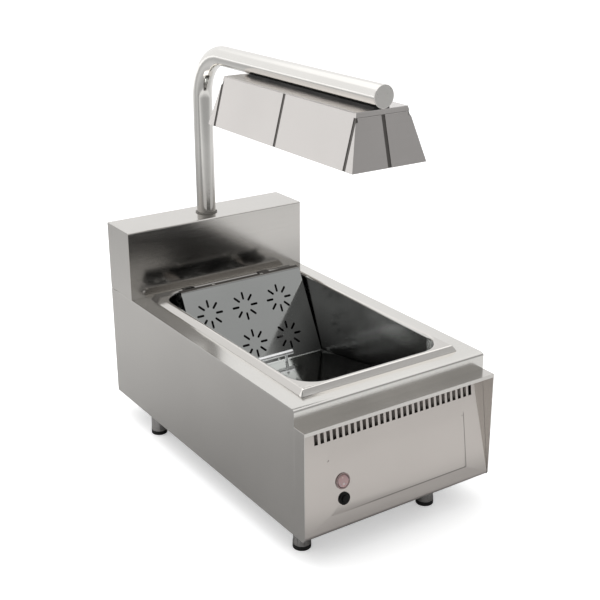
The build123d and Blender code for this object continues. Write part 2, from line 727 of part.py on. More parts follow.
def reflector():
    """Bright trough over the emitters, resting on the hood's rim."""
    top_z = hood_top_z - reflector_drop
    rim_z = hood_rim_z + thin_sheet + reflector_sheet
    spread = hood_top_width / 2 + hood_flare - thin_sheet - hood_rim + reflector_rest
    half = hood_top_length / 2 - rail_end_gap
    path = FilletPolyline((-spread, rim_z), (-reflector_top_width / 2, top_z),
                          (reflector_top_width / 2, top_z), (spread, rim_z), radius=reflector_bend)
    section = make_face(offset(path, amount=reflector_sheet, side=Side.RIGHT).edges())
    trough = Pos(0, hood_y + half, 0) * extrude(Plane.XZ * section, amount=2 * half)
    for y in emitter_ys():
        neck = emitter_neck / 2 + neck_gap
        trough -= Pos(0, y, top_z) * Box(2 * neck, 2 * neck, 10 * reflector_sheet)
    for y in bolt_places():
        trough -= Pos(0, y, top_z) * Cylinder(bolt_head_radius + bolt_head_gap, 10 * reflector_sheet)
    return trough


def emitter(y):
    """Ceramic emitter: a shallow trough with a square neck up to the rail."""
    crown_z = hood_top_z - emitter_drop
    half = emitter_width / 2
    arc = ThreePointArc((-half, crown_z - emitter_sag), (0, crown_z), (half, crown_z - emitter_sag))
    low = ThreePointArc((half, crown_z - emitter_sag - emitter_thickness), (0, crown_z - emitter_thickness),
                        (-half, crown_z - emitter_sag - emitter_thickness))
    ends = [Line(arc @ 1, low @ 0), Line(low @ 1, arc @ 0)]
    section = make_face([arc.edge(), ends[0].edge(), low.edge(), ends[1].edge()])
    trough = Pos(0, y + emitter_length / 2, 0) * extrude(Plane.XZ * section, amount=emitter_length)
    neck = block((-emitter_neck / 2, emitter_neck / 2), (y - emitter_neck / 2, y + emitter_neck / 2),
                 (crown_z - emitter_thickness / 2, hood_top_z - sheet - rail_thickness))
    return trough + neck


# ---- Feet ----

def foot(x, y):
    """Steel sleeve with a threaded stud, screwed into the base."""
    top = base_z - foot_top_gap
    body = disc(x, y, pad_height, foot_radius, top - pad_height)
    body = chamfer(body.edges().group_by(Axis.Z)[-1], 1.0)
    stud = disc(x, y, top - 1, stud_radius, foot_top_gap + stud_length + 1)
    nut = Pos(x, y, top) * extrude(RegularPolygon(bush_radius, 6), amount=foot_top_gap - foot_nut_gap)
    return body + stud + nut


def foot_pad(x, y):
    pad = disc(x, y, 0, pad_radius, pad_height)
    pad = chamfer(pad.edges().group_by(Axis.Z)[-1], pad_radius - foot_radius)
    return fillet(pad.edges().group_by(Axis.Z)[0], pad_round)


def foot_bush(x, y):
    """Threaded bush welded on to the base plate."""
    return ring(x, y, base_z + sheet, bush_radius, stud_radius + running_gap, bush_height)


# ---- Back fittings ----

def cable_gland():
    """Gland body, hexagon and dome; the cable's bore runs right through."""
    turn = Rot(-90, 0, 0)
    flange = turn * extrude(RegularPolygon(gland_hex_radius, 6), amount=gland_length / 2)
    dome = Pos(0, gland_length / 2, 0) * turn * Cone(
        gland_hex_radius - 2, gland_bore_radius + 3, gland_length / 2,
        align=(Align.CENTER, Align.CENTER, Align.MIN))
    thread = Pos(0, -gland_length / 4, 0) * turn * Cylinder(gland_thread_radius, gland_length / 2)
    bore = turn * Cylinder(gland_bore_radius, 4 * gland_length)
    return Pos(gland_x, inset_y, base_z + gland_z) * (flange + dome + thread - bore)


def gland_locknut():
    turn = Rot(-90, 0, 0)
    nut = turn * extrude(RegularPolygon(gland_hex_radius, 6) - Circle(gland_thread_radius), amount=-gland_nut)
    return Pos(gland_x, inset_y - sheet, base_z + gland_z) * nut


def terminal_block():
    """Mains terminal block on the base, near the gland."""
    length, breadth, height = terminal_size
    y = inset_y - terminal_setback
    top = base_z + sheet + height
    body = block((gland_x - length / 2, gland_x + length / 2), (y, y + breadth), (base_z + sheet, top))
    for i in range(terminal_ways):
        x = gland_x + (i - (terminal_ways - 1) / 2) * length / terminal_ways
        body -= disc(x, y + breadth / 2, top - terminal_hole_depth, terminal_hole, 2 * terminal_hole_depth)
    return body


parts = {
    "side_panel_left": side_panel(-1),
    "side_panel_right": side_panel(1),
    "worktop": worktop(),
    "base_plate": base_plate(),
    "back_panel": back_panel(),
    "riser_cover": riser_cover(),
    "console_frame": console_frame(),
    "control_panel": control_panel(),
    "switch_housing": switch_housing(),
    "power_rocker": power_rocker(),
    "reset_collar": reset_collar(),
    "reset_button": reset_button(),
    "well_liner": well_liner(),
    "heater_mat_front": heater_mat(-1),
    "heater_mat_rear": heater_mat(1),
    "gn_pan": gn_pan(),
    "drain_plate": drain_plate(),
    "hook_rivet_left": hook_rivet(-1),
    "hook_rivet_right": hook_rivet(1),
    "lift_handle": lift_handle(),
    "post_socket": post_socket(),
    "gantry_tube": gantry_tube(),
    "tube_end_cap": tube_end_cap(),
    "post_grommet": post_grommet(),
    "hood_inner_skin": hood_inner_skin(),
    "hood_top": hood_top(),
    "hood_saddle": hood_saddle(),
    "emitter_rail": emitter_rail(),
    "reflector": reflector(),
    "cable_gland": cable_gland(),
    "gland_locknut": gland_locknut(),
    "terminal_block": terminal_block(),
    **hood_panels(),
}
for name, y in zip(("front", "rear"), bolt_places()):
    parts[f"hood_bolt_{name}"] = hood_bolt(y)
for number, y in enumerate(emitter_ys(), start=1):
    parts[f"emitter_{number}"] = emitter(y)
for name, (x, y) in foot_places.items():
    parts[f"foot_{name}"] = foot(x, y)
    parts[f"foot_pad_{name}"] = foot_pad(x, y)
    parts[f"foot_bush_{name}"] = foot_bush(x, y)

os.makedirs("parts", exist_ok=True)
for name, solid in parts.items():
    export_step(solid, f"parts/{name}.step")
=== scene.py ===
"""Chip warmer: finishes, fixings and fine pieces built round its fixed steel frame."""

import json
from collections import Counter
from math import atan2, pi, radians, sin

import bpy
from bpy.props import FloatProperty, FloatVectorProperty, IntProperty, PointerProperty
from mathutils import Matrix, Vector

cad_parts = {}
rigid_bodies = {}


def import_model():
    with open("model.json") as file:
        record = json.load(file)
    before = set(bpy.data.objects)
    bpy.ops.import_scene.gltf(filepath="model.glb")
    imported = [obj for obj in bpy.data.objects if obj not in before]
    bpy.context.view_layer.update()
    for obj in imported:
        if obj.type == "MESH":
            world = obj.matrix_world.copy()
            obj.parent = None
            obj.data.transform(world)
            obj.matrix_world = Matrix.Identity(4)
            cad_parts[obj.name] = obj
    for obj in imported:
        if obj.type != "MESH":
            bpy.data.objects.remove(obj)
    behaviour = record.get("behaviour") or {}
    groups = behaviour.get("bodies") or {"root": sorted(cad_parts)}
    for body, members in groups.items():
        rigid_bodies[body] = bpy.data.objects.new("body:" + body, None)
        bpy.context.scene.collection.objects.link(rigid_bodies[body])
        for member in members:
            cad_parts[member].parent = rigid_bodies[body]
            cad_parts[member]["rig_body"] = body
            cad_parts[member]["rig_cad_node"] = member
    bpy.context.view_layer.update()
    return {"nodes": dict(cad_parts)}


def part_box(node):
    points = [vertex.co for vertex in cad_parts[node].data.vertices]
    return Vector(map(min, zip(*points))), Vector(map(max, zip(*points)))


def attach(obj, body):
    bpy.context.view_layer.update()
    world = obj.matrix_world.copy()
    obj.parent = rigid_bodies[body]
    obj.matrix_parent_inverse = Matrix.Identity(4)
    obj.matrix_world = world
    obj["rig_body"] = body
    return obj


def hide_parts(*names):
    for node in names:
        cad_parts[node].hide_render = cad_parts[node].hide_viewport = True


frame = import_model()

bl_info = {
    "name": "Chip Warmer",
    "version": (1, 0, 0),
    "blender": (4, 5, 0),
    "location": "3D View > Sidebar > Chip Warmer",
    "description": "Builds the finishes, fixings and studio of a counter-top chip warmer",
    "category": "Object",
}

# ---- Places on the steel frame, in metres ----
SIDE_X = 0.200
RISER_Y = 0.257
DECK_Z = 0.280
BASE_Z = 0.050

# The control panel leans back as it rises. PANEL stands at its foot, with Y up the sheet and Z out of it.
PANEL_FOOT_Y = -0.350
PANEL_RISE = 0.198
PANEL_SETBACK = 0.029
PANEL_LEAN = atan2(PANEL_SETBACK, PANEL_RISE)
PANEL = Matrix.Translation((0.0, PANEL_FOOT_Y, BASE_Z)) @ Matrix.Rotation(pi / 2 - PANEL_LEAN, 4, "X")

# The pressed field on the panel, and the painted shade line along its edge.
FIELD_LIFT = 0.0006
FIELD_RIGHT = 0.150
FIELD_LOW_Z = 0.0802
FIELD_TOP_Z = 0.1781
LINE_FADE_X = (-0.145, -0.05)
LINE_HALF_WIDTH = (0.0005, 0.0014)

# The channel behind the vents, from the panel's foot.
BAFFLE_LENGTH = 0.362
BAFFLE_WIDTH = 0.028
BAFFLE_DEPTH = 0.0045
BAFFLE_SPLAY = 0.001
BAFFLE_WALL = 0.0008
BAFFLE_PLACE = (0.003, 0.170, -0.0061)

# The rocker switch and its marks.
CONTROL_X = -0.116
SWITCH_RISE = 0.0855
ROCKER_TILT = radians(9)
ROCKER_CREST = 0.0026
MARK_REACH = 0.0052
BAR_RADIUS = 0.0005
BAR_UP, BAR_DOWN = 0.0012, 0.0004
RING_RADIUS = 0.0016
RING_WIRE = 0.00045

# The pan's rim: its width, the roll of its edge as steps out and down, and the slits at its corners.
RIM_WIDTH = 0.0105
RIM_CURVE = ((0.0005, 0.00005), (0.001, 0.0002), (0.0015, 0.0005), (0.002, 0.0009), (0.0024, 0.0014))
RIM_CLEARANCE = 0.0002
RIM_RETURN = 0.001
SLIT_SIZE = (0.009, 0.0011, 0.0105)
SLIT_DEPTH = 0.0065

# Where painted shade darkens the pan's inside up from its floor, and painted light brightens it near its
# mouth in front.
PAN_SHADE_Z = (0.165, 0.25)
PAN_MOUTH_LIGHT_Z = (0.245, 0.272)
PAN_MOUTH_LIGHT_Y = (-0.03, -0.10)

# The feet, and the knurled rings on them.
FEET = {
    "front_left": (-0.164, -0.289),
    "front_right": (0.099, -0.296),
    "rear_left": (-0.174, 0.217),
    "rear_right": (0.174, 0.217),
}
KNURL_Z = 0.0105
KNURL_RADIUS = 0.0153
KNURL_HEIGHT = 0.0035
TOOTH_HEIGHT = 0.0005

# Screws and dressed welds.
BACK_SCREW_X = 0.172
BACK_SCREW_ROWS = (0.075, 0.185, 0.295, 0.400)
WORKTOP_SCREW = (-0.160, 0.2348, DECK_Z)
RISER_SCREW = (-0.1724, RISER_Y, 0.2926)
SMALL_SCREW = 0.75
SIDE_WELDS = {"front": -0.2848, "rear": 0.300}
SIDE_WELD_Z = 0.2592
LID_WELDS = ((-0.0228, 0.0336), (-0.0391, -0.0708), (-0.0264, -0.2151))
WELD_SINK = 0.0001

# The studio's lamp and camera.
LAMP_PLACE = (-0.8, 0.2, 2.4)
LAMP_TILT = -18.0
LAMP_SIZE = (1.6, 1.2)
LAMP_POWER = 14.0
CAMERA_PLACE = (-1.0605, -1.6246, 1.0667)
CAMERA_TURN = 33.865
CAMERA_DIP = 21.055
CAMERA_ROLL = 0.164
CAMERA_LENS = 66.62

# How far a grain's lines vary the roughness, as a share of it.
LINE_CONTRAST = 0.16


# ---- Colours, nodes and materials ----

def linear(code):
    """An sRGB hex colour as linear values."""
    channels = [int(code[i:i + 2], 16) / 255 for i in (1, 3, 5)]
    curve = [c / 12.92 if c <= 0.04045 else ((c + 0.055) / 1.055) ** 2.4 for c in channels]
    return (*curve, 1.0)


def add_node(tree, kind, values=None, **settings):
    """Adds one node. Values are numbers, colours or another node's output, by socket name or number."""
    made = tree.nodes.new(kind)
    for name, value in settings.items():
        setattr(made, name, value)
    for name, value in (values or {}).items():
        if isinstance(value, bpy.types.NodeSocket):
            tree.links.new(value, made.inputs[name])
        else:
            made.inputs[name].default_value = value
    return made


def new_material(name):
    """A plain material, with its tree and its shader."""
    material = bpy.data.materials.new(name)
    material.use_nodes = True
    tree = material.node_tree
    tree.nodes.clear()
    shader = add_node(tree, "ShaderNodeBsdfPrincipled")
    add_node(tree, "ShaderNodeOutputMaterial", {"Surface": shader.outputs[0]})
    return material, tree, shader


def noise(tree, scale, detail=3.0, stretch=None):
    """Noise on Object coordinates, drawn out along an axis where stretch is small."""
    spot = add_node(tree, "ShaderNodeTexCoord").outputs["Object"]
    if stretch:
        spot = add_node(tree, "ShaderNodeMapping", {"Vector": spot, "Scale": stretch}).outputs[0]
    return add_node(tree, "ShaderNodeTexNoise", {"Vector": spot, "Scale": scale, "Detail": detail}).outputs[0]


def object_axes(tree):
    """The outputs X, Y and Z of the Object coordinates."""
    spot = add_node(tree, "ShaderNodeTexCoord").outputs["Object"]
    return add_node(tree, "ShaderNodeSeparateXYZ", {0: spot}).outputs


def ramp(tree, value, low, high, start=0.3, end=0.7):
    """The value, moved from start-end to low-high and held there."""
    return add_node(tree, "ShaderNodeMapRange", {"Value": value, "From Min": start, "From Max": end,
                                                 "To Min": low, "To Max": high}).outputs[0]


def reckon(tree, operation, *values):
    """One sum of Blender's Math node."""
    return add_node(tree, "ShaderNodeMath", dict(enumerate(values)), operation=operation).outputs[0]


def times(tree, first, *others):
    for other in others:
        first = reckon(tree, "MULTIPLY", first, other)
    return first


def highest(tree, first, *others):
    for other in others:
        first = reckon(tree, "MAXIMUM", first, other)
    return first


def plus(tree, first, second):
    return reckon(tree, "ADD", first, second)


def distance(tree, value, centre):
    """How far the value lies from the centre."""
    return reckon(tree, "ABSOLUTE", reckon(tree, "SUBTRACT", value, centre))


def blend_colours(tree, factor, first, second):
    """A mix of two colours."""
    made = add_node(tree, "ShaderNodeMix", {"Factor": factor}, data_type="RGBA")
    for index, value in ((6, first), (7, second)):
        if isinstance(value, bpy.types.NodeSocket):
            tree.links.new(value, made.inputs[index])
        else:
            made.inputs[index].default_value = tuple(value)
    return made.outputs[2]


def recolour(tree, factor, colour):
    """Blends the colour over what the shader has, where the factor is high."""
    shader = next(item for item in tree.nodes if item.type == "BSDF_PRINCIPLED")
    plain = shader.inputs["Base Color"].links[0].from_socket
    tree.links.new(blend_colours(tree, factor, plain, colour), shader.inputs["Base Color"])


def shade(colour, factor):
    """The colour, made darker or lighter."""
    return (*[min(1.0, c * factor) for c in tuple(colour)[:3]], 1.0)


def brushed(name, colour, roughness, stretch=None, bump=0.03, smear=0.12):
    """Metal with faint cloudy wipe marks, and a fine texture that stretch draws out into lines."""
    material, tree, shader = new_material(name)
    cloud = noise(tree, 6.0)
    shader.inputs["Metallic"].default_value = 1.0
    if stretch:
        grain = noise(tree, 1.0, 4.0, stretch)
        if bump:
            bumped = add_node(tree, "ShaderNodeBump", {"Height": grain, "Strength": bump, "Distance": 0.0002})
            tree.links.new(bumped.outputs[0], shader.inputs["Normal"])
        roughness = ramp(tree, grain, roughness * (1 - LINE_CONTRAST), roughness * (1 + LINE_CONTRAST))
    cloudy = times(tree, roughness, ramp(tree, cloud, 1 - smear, 1 + smear))
    tree.links.new(cloudy, shader.inputs["Roughness"])
    tint = blend_colours(tree, ramp(tree, cloud, 0.0, 1.0), shade(colour, 0.97), shade(colour, 1.02))
    tree.links.new(tint, shader.inputs["Base Color"])
    return material


def moulded(name, colour, roughness, grain_size=900.0, bump=0.08, metallic=0.0, gloss=0.5):
    """Moulded, cast or coated surface with a fine even texture."""
    material, tree, shader = new_material(name)
    grain = noise(tree, grain_size)
    cloud = noise(tree, 18.0)
    shader.inputs["Metallic"].default_value = metallic
    shader.inputs["Specular IOR Level"].default_value = gloss
    tree.links.new(ramp(tree, cloud, roughness * 0.85, roughness * 1.15), shader.inputs["Roughness"])
    tint = blend_colours(tree, ramp(tree, cloud, 0.0, 1.0), shade(colour, 0.92), shade(colour, 1.06))
    tree.links.new(tint, shader.inputs["Base Color"])
    bumped = add_node(tree, "ShaderNodeBump", {"Height": grain, "Strength": bump, "Distance": 0.0003})
    tree.links.new(bumped.outputs[0], shader.inputs["Normal"])
    return material


def pan_steel(name, rim, inside, low, high):
    """Deep-drawn pan: bright rim, and a mirror-like inside with faint upright draw marks, with painted dark
    reflection inside, painted shade low down and painted light at the mouth, a painted highlight on the rim's
    front slope and painted shade on its rear flange.
    """
    material, tree, shader = new_material(name)
    axes = object_axes(tree)
    across, along, up = axes["X"], axes["Y"], axes["Z"]
    centre_y = (low.y + high.y) / 2
    # One on the rim, nothing inside.
    on_rim = ramp(tree, up, 0.0, 1.0, high.z - 0.006, high.z - 0.001)
    for value, centre, reach in ((across, 0.0, high.x), (along, centre_y, high.y - centre_y)):
        edge, away = reach - RIM_WIDTH, distance(tree, value, centre)
        on_rim = highest(tree, on_rim, ramp(tree, away, 0.0, 1.0, edge, edge + 0.002))
    # The inside: draw marks, painted shade darker towards the floor, and painted light near the mouth in
    # front.
    draw = noise(tree, 1.0, 3.0, (120.0, 120.0, 6.0))
    walls = blend_colours(tree, ramp(tree, draw, 0.0, 1.0), shade(inside, 0.94), shade(inside, 1.06))
    depth = ramp(tree, up, 0.15, 1.0, *PAN_SHADE_Z)
    walls = blend_colours(tree, depth, (0.0, 0.0, 0.0, 1.0), walls)
    painted_mouth_light = times(tree, ramp(tree, up, 0.0, 1.0, *PAN_MOUTH_LIGHT_Z), ramp(tree, along, 0.0, 1.0, *PAN_MOUTH_LIGHT_Y))
    walls = blend_colours(tree, painted_mouth_light, walls, shade(inside, 2.8))
    # The rim: a painted highlight on its front slope, and painted shade on its rear flange.
    front = ramp(tree, along, 1.0, 0.0, low.y + 0.005, low.y + 0.0065)
    flange = blend_colours(tree, front, rim, shade(rim, 1.4))
    rear = ramp(tree, along, 0.0, 1.0, high.y - 0.032, high.y - 0.024)
    flange = blend_colours(tree, rear, flange, shade(rim, 0.5))
    tree.links.new(blend_colours(tree, on_rim, walls, flange), shader.inputs["Base Color"])
    shader.inputs["Metallic"].default_value = 1.0
    tree.links.new(ramp(tree, on_rim, 0.2, 0.15, 0.0, 1.0), shader.inputs["Roughness"])
    return material


def heater_rubber(name, colour):
    """Silicone heating mat with the weave of its glass cloth."""
    material, tree, shader = new_material(name)
    spot = add_node(tree, "ShaderNodeTexCoord").outputs["Object"]
    weave = add_node(tree, "ShaderNodeTexChecker", {"Vector": spot, "Scale": 500.0}).outputs[1]
    tint = blend_colours(tree, weave, shade(colour, 0.9), shade(colour, 1.05))
    tree.links.new(tint, shader.inputs["Base Color"])
    shader.inputs["Roughness"].default_value = 0.65
    bumped = add_node(tree, "ShaderNodeBump", {"Height": weave, "Strength": 0.2, "Distance": 0.0003})
    tree.links.new(bumped.outputs[0], shader.inputs["Normal"])
    return material


def rocker_lens(name, colour):
    """Tinted translucent rocker, a little darker round its edge."""
    material, tree, shader = new_material(name)
    facing = add_node(tree, "ShaderNodeLayerWeight", {"Blend": 0.35}).outputs["Facing"]
    tree.links.new(blend_colours(tree, facing, colour, shade(colour, 0.55)), shader.inputs["Base Color"])
    tree.links.new(ramp(tree, noise(tree, 60.0), 0.18, 0.26), shader.inputs["Roughness"])
    shader.inputs["Subsurface Weight"].default_value = 0.15
    shader.inputs["Subsurface Scale"].default_value = 0.003
    return material


# ---- Colours and sizes ----

def colour_of(name, code, description):
    """A colour that a user may change."""
    return FloatVectorProperty(name=name, description=description, subtype="COLOR", size=4, min=0.0, max=1.0,
                               default=linear(code))


class WarmerColours(bpy.types.PropertyGroup):
    """Colours of the chip warmer's finishes."""

    cabinet: colour_of("Cabinet Steel", "#d2cfcb", "Satin stainless sheet of the cabinet")
    # The worktop's lighter tone is partly its polish and partly painted light on the top.
    worktop: colour_of("Worktop Steel", "#dddbd7", "Brighter polished worktop")
    # Darker than the cabinet steel: painted shade on the leaning panel's face.
    panel: colour_of("Control Panel Steel", "#c6c0bb", "Satin stainless sheet of the control panel")
    # Painted shade along the pressed field's lower and right edges.
    field_shade_line: colour_of("Field Line", "#3c3a38", "Thin line along the pressed field's edge")
    # The baffle's darker tone is painted shade, seen through the vents.
    baffle: colour_of("Vent Baffle", "#8f8984", "Plain sheet behind the vents")
    liner: colour_of("Liner Steel", "#c0c0be", "Mill-finish well liner")
    pan_rim: colour_of("Pan Rim", "#d2cfcb", "Bright rim of the pan")
    # The pan inside's dark tone is painted dark reflection.
    pan_inside_painted_dark: colour_of("Pan Inside", "#7f7f7e", "Dark polished inside of the pan")
    plate: colour_of("Drain Plate", "#d7d9d7", "Mirror-polished drain plate")
    # Painted dark reflection on the plate's lower part, and painted shade on its hem and straps.
    plate_low_reflection: colour_of("Drain Plate, Low", "#8f8d8a", "The drain plate's lower part")
    plate_hem_shade: colour_of("Drain Plate Hem", "#5c5854", "The drain plate's hem and straps")
    rivet: colour_of("Rivets", "#8a8884", "Rivets at the drain plate's hem")
    chrome: colour_of("Chrome", "#f4f4f5", "Bright plating of the lift handle")
    tube: colour_of("Tube Steel", "#e9e7e3", "Polished tube of the gantry")
    # Painted shade: the tube darkens low on the post, near the riser.
    tube_foot: colour_of("Tube Foot", "#aeaba7", "The tube low on the post")
    hood: colour_of("Hood Steel", "#d9d5d2", "Satin stainless hood panels")
    hood_skin: colour_of("Hood Inner Skin", "#6e6b68", "Dark skin behind the hood's joints")
    reflector: colour_of("Reflector", "#e6e6e8", "Bright rolled aluminium")
    ceramic: colour_of("Ceramic", "#ebe8e0", "Glazed heating emitters")
    zinc: colour_of("Zinc", "#b8b8b2", "Zinc-plated bolts and rail")
    foot: colour_of("Foot Steel", "#c4c2c0", "Turned steel feet")
    rubber: colour_of("Black Rubber", "#191918", "Foot pads and saddle")
    grommet: colour_of("Grey Rubber", "#77746f", "Grommet at the foot of the post")
    nylon: colour_of("Black Nylon", "#080808", "Cable fittings, collar and button")
    bezel: colour_of("Switch Bezel", "#a58f8d", "Smoke-tinted switch bezel")
    lens: colour_of("Rocker Lens", "#d0b0b0", "Washed red rocker")
    mark: colour_of("Rocker Marks", "#f1ece8", "Moulded on and off marks")
    heater: colour_of("Heater Mat", "#b5562a", "Silicone heating mats")


class WarmerSizes(bpy.types.PropertyGroup):
    """Sizes of the small pieces that a user may change."""

    screw_radius: FloatProperty(name="Screw Head Radius", description="Radius of the screw heads at the back",
                                default=0.0035, min=0.001, unit="LENGTH")
    weld_radius: FloatProperty(name="Plug Weld Radius", description="Radius of the dressed plug welds",
                               default=0.0022, min=0.001, unit="LENGTH")
    edge_round: FloatProperty(name="Edge Rounding", description="Softened sheet edges that catch the light",
                              default=0.0005, min=0.0001, unit="LENGTH")
    rim_slope: FloatProperty(name="Rim Slope", description="Width of the pan rim's sloping outer edge",
                              default=0.0062, min=0.001, unit="LENGTH")
    rim_flare: FloatProperty(name="Rim Flare", description="How far the sloping edge's foot stands out",
                             default=0.002, min=0.0, unit="LENGTH")
    knurl_teeth: IntProperty(name="Knurl Teeth", description="Teeth round each foot's adjusting ring",
                             default=28, min=8, max=60)


# ---- Modelling helpers ----

def only(piece):
    """Deselects all else and makes this piece the active one."""
    if bpy.context.mode != "OBJECT":
        bpy.ops.object.mode_set(mode="OBJECT")
    bpy.ops.object.select_all(action="DESELECT")
    piece.select_set(True)
    bpy.context.view_layer.objects.active = piece


def pick_faces(piece, test):
    """Selects in edit mode the faces whose centre and normal pass the test."""
    only(piece)
    mesh = piece.data
    for item in (*mesh.vertices, *mesh.edges):
        item.select = False
    for face in mesh.polygons:
        face.select = bool(test(face.center, face.normal))
    bpy.ops.object.mode_set(mode="EDIT")
    bpy.ops.mesh.select_mode(type="FACE")


def choose_edges(piece, chosen):
    """Selects in edit mode the edges that are chosen."""
    only(piece)
    mesh = piece.data
    for item in (*mesh.vertices, *mesh.polygons):
        item.select = False
    for edge in mesh.edges:
        edge.select = bool(chosen(edge))
    bpy.ops.object.mode_set(mode="EDIT")
    bpy.ops.mesh.select_mode(type="EDGE")


def pick_edges(piece, test):
    """Selects in edit mode the edges whose two ends pass the test."""
    choose_edges(piece, lambda edge: test(*[piece.data.vertices[i].co for i in edge.vertices]))


def pick_open_edges(piece):
    """Selects in edit mode the edges that only one face uses."""
    uses = Counter(key for face in piece.data.polygons for key in face.edge_keys)
    choose_edges(piece, lambda edge: uses[edge.key] == 1)


def leave_edit():
    """Goes back to object mode."""
    bpy.ops.object.mode_set(mode="OBJECT")


def settle(piece):
    """Puts the piece's place into its mesh, and its object at the origin."""
    only(piece)
    bpy.ops.object.transform_apply(location=True, rotation=True, scale=True)


def place(piece, matrix):
    """Moves the piece's mesh by the matrix."""
    piece.matrix_world = matrix
    bpy.context.view_layer.update()
    settle(piece)


def own(piece, name, material, body):
    """Names the piece, gives it its material, and lets it ride on its body."""
    piece.name = name
    piece.data.name = name
    piece.data.materials.clear()
    piece.data.materials.append(material)
    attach(piece, body)


def copy_of(piece, matrix):
    """Another piece with its own mesh, at the matrix."""
    made = piece.copy()
    made.data = piece.data.copy()
    bpy.context.scene.collection.objects.link(made)
    made.parent = None
    place(made, matrix)
    return made


def remove(piece):
    """Takes the piece out of the file."""
    bpy.data.objects.remove(piece, do_unlink=True)


def cut(piece, tool):
    """Takes the tool's shape out of the piece."""
    only(piece)
    modifier = piece.modifiers.new("cut", "BOOLEAN")
    modifier.object = tool
    modifier.operation = "DIFFERENCE"
    bpy.ops.object.modifier_apply(modifier=modifier.name)
    remove(tool)


def finish_node(name, material):
    """Gives a frame node its material."""
    node = frame["nodes"][name]
    node.data.materials.clear()
    node.data.materials.append(material)


def dressed_node(name, material, angle=32.0, edge=0.0):
    """A merged copy of a frame node, smooth over its curves, with its sheet edges softened."""
    node = frame["nodes"][name]
    body = node["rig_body"]
    piece = node.copy()
    piece.data = node.data.copy()
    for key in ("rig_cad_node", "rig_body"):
        if key in piece:
            del piece[key]
    bpy.context.scene.collection.objects.link(piece)
    piece.parent = None
    piece.matrix_world = Matrix.Identity(4)
    only(piece)
    bpy.ops.object.mode_set(mode="EDIT")
    bpy.ops.mesh.select_all(action="SELECT")
    bpy.ops.mesh.remove_doubles(threshold=0.00001)
    if edge:
        bpy.ops.mesh.dissolve_limited(angle_limit=radians(0.5))
    leave_edit()
    if edge:
        rounding = piece.modifiers.new("edge", "BEVEL")
        rounding.width = edge
        rounding.segments = 2
        rounding.limit_method = "ANGLE"
        rounding.angle_limit = radians(50)
        bpy.ops.object.modifier_apply(modifier=rounding.name)
    bpy.ops.object.shade_smooth_by_angle(angle=radians(angle))
    even = piece.modifiers.new("even", "WEIGHTED_NORMAL")
    even.keep_sharp = True
    bpy.ops.object.modifier_apply(modifier=even.name)
    own(piece, name + "_dressed", material, body)
    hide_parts(name)
    return piece


# ---- Operators ----

class BuildCabinet(bpy.types.Operator):
    """Finishes the cabinet's sheets, its liner and its heating mats"""

    bl_idname = "chip_warmer.cabinet"
    bl_label = "Cabinet"

    def execute(self, context):
        colours, sizes = context.scene.warmer_colours, context.scene.warmer_sizes
        # Satin stainless sides, without lines.
        side = brushed("satin_side_steel", colours.cabinet, 0.26, smear=0.05)
        for name in ("side_panel_left", "side_panel_right"):
            dressed_node(name, side, edge=sizes.edge_round)
        # The riser's grain runs from side to side.
        upstand = brushed("satin_riser_steel", colours.cabinet, 0.17, (14.0, 900.0, 900.0))
        dressed_node("riser_cover", upstand, edge=sizes.edge_round)
        # The worktop is more polished than the sides, and its lighter colour is partly painted light on the
        # top.
        top = brushed("polished_worktop_steel", colours.worktop, 0.18, (900.0, 14.0, 900.0), bump=0.02)
        dressed_node("worktop", top)
        # Plain sheet where it is seldom seen.
        sheet = brushed("plain_base_steel", colours.liner, 0.34, (14.0, 900.0, 900.0))
        for name in ("base_plate", "post_socket"):
            finish_node(name, sheet)
        dressed_node("back_panel", sheet)
        # Mill-finish liner.
        liner = brushed("mill_liner_steel", colours.liner, 0.38, (900.0, 900.0, 14.0))
        dressed_node("well_liner", liner)
        # Silicone mats under the liner.
        mats = heater_rubber("silicone_mat_cloth", colours.heater)
        for name in ("heater_mat_front", "heater_mat_rear"):
            finish_node(name, mats)
        return {"FINISHED"}


